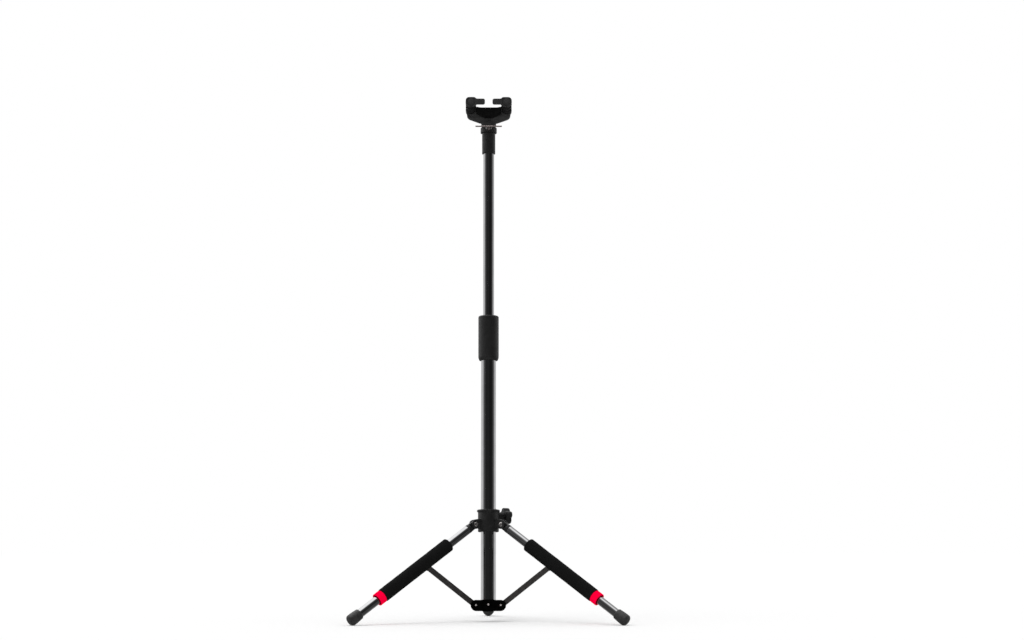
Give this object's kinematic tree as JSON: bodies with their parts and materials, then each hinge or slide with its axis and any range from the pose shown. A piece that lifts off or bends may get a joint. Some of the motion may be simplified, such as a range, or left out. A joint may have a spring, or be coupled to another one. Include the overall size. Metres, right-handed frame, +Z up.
{
  "type": "cello stand",
  "caption": "Folding tripod floor stand that holds a cello upright by its neck in a self-closing yoke, with padded front legs, a height clutch and a bow rest.",
  "frame": {"origin": "on the floor, in the middle of the stand's footprint box", "axes": "+Z up, -Y towards the player in front of the stand, +X to the right seen from the front"},
  "size_m": [0.6074, 0.4778, 1.1701],
  "materials": {
    "steel_gloss": "gloss black powder coat",
    "steel_matte": "matte black powder coat",
    "brace_steel": "satin dark grey paint",
    "plated_steel": "zinc plated",
    "black_plastic": "fine moulded grain",
    "soft_rubber": "soft matte moulding",
    "foot_rubber": "matte",
    "red_rubber": "satin",
    "foam": "matte foam"
  },
  "bodies": {
    "base": {"shaft_outer_tube": "steel_gloss", "shaft_end_plug": "black_plastic", "shaft_upper_bush": "black_plastic", "lower_hub": "steel_matte", "hub_front_plate": "steel_matte", "hub_rivet_left": "plated_steel", "hub_rivet_right": "plated_steel", "hub_rivet_centre": "plated_steel", "hub_rivet_rear": "plated_steel", "clutch_housing": "black_plastic", "clutch_spring": "plated_steel", "clutch_lever_pin": "plated_steel"},
    "collar": {"leg_collar": "black_plastic", "leg_pin_left": "plated_steel", "leg_pin_right": "plated_steel", "leg_pin_rear": "plated_steel"},
    "knob": {"collar_knob": "black_plastic"},
    "leg_left": {"leg_knuckle_left": "black_plastic", "leg_tube_left": "steel_gloss", "foot_left": "foot_rubber", "foam_sleeve_left": "foam", "sleeve_ring_left": "red_rubber", "brace_lug_left": "brace_steel", "brace_pin_left": "brace_steel"},
    "brace_left": {"brace_left": "brace_steel"},
    "leg_right": {"leg_knuckle_right": "black_plastic", "leg_tube_right": "steel_gloss", "foot_right": "foot_rubber", "foam_sleeve_right": "foam", "sleeve_ring_right": "red_rubber", "brace_lug_right": "brace_steel", "brace_pin_right": "brace_steel"},
    "brace_right": {"brace_right": "brace_steel"},
    "leg_rear": {"leg_knuckle_rear": "black_plastic", "leg_tube_rear": "steel_gloss", "foot_rear": "foot_rubber", "brace_lug_rear": "brace_steel", "brace_pin_rear": "brace_steel"},
    "brace_rear": {"brace_rear": "brace_steel"},
    "clutch_lever": {"clutch_lever": "black_plastic"},
    "clutch_plate": {"clutch_plate": "plated_steel"},
    "inner": {"shaft_inner_tube": "steel_gloss", "shaft_lower_bush": "black_plastic", "yoke_socket": "black_plastic", "bow_holder_clamp": "black_plastic", "bow_holder_pin": "plated_steel"},
    "bow_holder_bar": {"bow_holder_bar": "plated_steel"},
    "yoke": {"yoke_housing": "soft_rubber", "cradle_pad": "soft_rubber", "yoke_spring": "plated_steel", "arm_tube_left": "steel_gloss", "arm_tube_right": "steel_gloss", "arm_sleeve_left": "soft_rubber", "arm_sleeve_right": "soft_rubber"},
    "gate_left": {"gate_left": "soft_rubber", "gate_cap_left": "black_plastic"},
    "gate_right": {"gate_right": "soft_rubber", "gate_cap_right": "black_plastic"}
  },
  "joints": [
    {"name": "collar_slide", "type": "slide", "parent": "base", "child": "collar", "axis": [0, 0.0872, 0.9962], "range_m": [0, 0.11313]},
    {"name": "knob_turn", "type": "hinge", "parent": "collar", "child": "knob", "pos_m": [0.02685, -0.0218, 0.23177], "axis": [0.866, 0.4981, -0.0436], "range_deg": [0, 180]},
    {"name": "leg_fold_left", "type": "hinge", "parent": "collar", "child": "leg_left", "pos_m": [-0.03118, -0.057, 0.21377], "axis": [0.5, -0.8627, 0.0755], "range_deg": [0, 49.42]},
    {"name": "brace_fold_left", "type": "hinge", "parent": "leg_left", "child": "brace_left", "pos_m": [-0.13004, -0.12265, 0.11834], "axis": [-0.5, 0.8627, -0.0755], "range_deg": [0, 106.26]},
    {"name": "leg_fold_right", "type": "hinge", "parent": "collar", "child": "leg_right", "pos_m": [0.03118, -0.057, 0.21377], "axis": [0.5, 0.8627, -0.0755], "range_deg": [0, 49.42]},
    {"name": "brace_fold_right", "type": "hinge", "parent": "leg_right", "child": "brace_right", "pos_m": [0.13004, -0.12265, 0.11834], "axis": [-0.5, -0.8627, 0.0755], "range_deg": [0, 106.26]},
    {"name": "leg_fold_rear", "type": "hinge", "parent": "collar", "child": "leg_rear", "pos_m": [0, -0.0032, 0.20907], "axis": [-1, 0, 0], "range_deg": [0, 49.42]},
    {"name": "brace_fold_rear", "type": "hinge", "parent": "leg_rear", "child": "brace_rear", "pos_m": [0, 0.10174, 0.0987], "axis": [1, 0, 0], "range_deg": [0, 106.26]},
    {"name": "clutch_squeeze", "type": "hinge", "parent": "base", "child": "clutch_lever", "pos_m": [0, 0.02798, 0.64587], "axis": [-1, 0, 0], "range_deg": [0, 11], "stiffness_Nm_per_rad": 4, "springref_deg": -5.73},
    {"name": "clutch_plate_tilt", "type": "hinge", "parent": "base", "child": "clutch_plate", "pos_m": [0, -0.01764, 0.65684], "axis": [1, 0, 0], "range_deg": [0, 4.5]},
    {"name": "height_slide", "type": "slide", "parent": "base", "child": "inner", "axis": [0, 0.0872, 0.9962], "range_m": [-0.085, 0.235]},
    {"name": "bow_holder_fold", "type": "hinge", "parent": "inner", "child": "bow_holder_bar", "pos_m": [0, 0.01483, 1.10941], "axis": [-1, 0, 0], "range_deg": [0, 90]},
    {"name": "yoke_lift", "type": "slide", "parent": "inner", "child": "yoke", "axis": [0, 0.0872, 0.9962], "range_m": [0, 0.012], "deforming": ["yoke_spring"]},
    {"name": "gate_swing_left", "type": "hinge", "parent": "yoke", "child": "gate_left", "pos_m": [-0.04, -0.04758, 1.15903], "axis": [0, -0.9962, 0.0872], "range_deg": [0, 90.01]},
    {"name": "gate_swing_right", "type": "hinge", "parent": "yoke", "child": "gate_right", "pos_m": [0.04, -0.04758, 1.15903], "axis": [0, 0.9962, -0.0872], "range_deg": [0, 90.01]}
  ],
  "couplings": [
    {"joint": "leg_fold_left", "follows": "collar_slide", "rad_per_m": 7.6211},
    {"joint": "brace_fold_left", "follows": "collar_slide", "rad_per_m": 16.39},
    {"joint": "leg_fold_right", "follows": "collar_slide", "rad_per_m": 7.6211},
    {"joint": "brace_fold_right", "follows": "collar_slide", "rad_per_m": 16.39},
    {"joint": "leg_fold_rear", "follows": "collar_slide", "rad_per_m": 7.6211},
    {"joint": "brace_fold_rear", "follows": "collar_slide", "rad_per_m": 16.39},
    {"joint": "clutch_plate_tilt", "follows": "clutch_squeeze", "ratio": 0.40908},
    {"joint": "gate_swing_left", "follows": "yoke_lift", "rad_per_m": 130.9},
    {"joint": "gate_swing_right", "follows": "yoke_lift", "rad_per_m": 130.9}
  ]
}
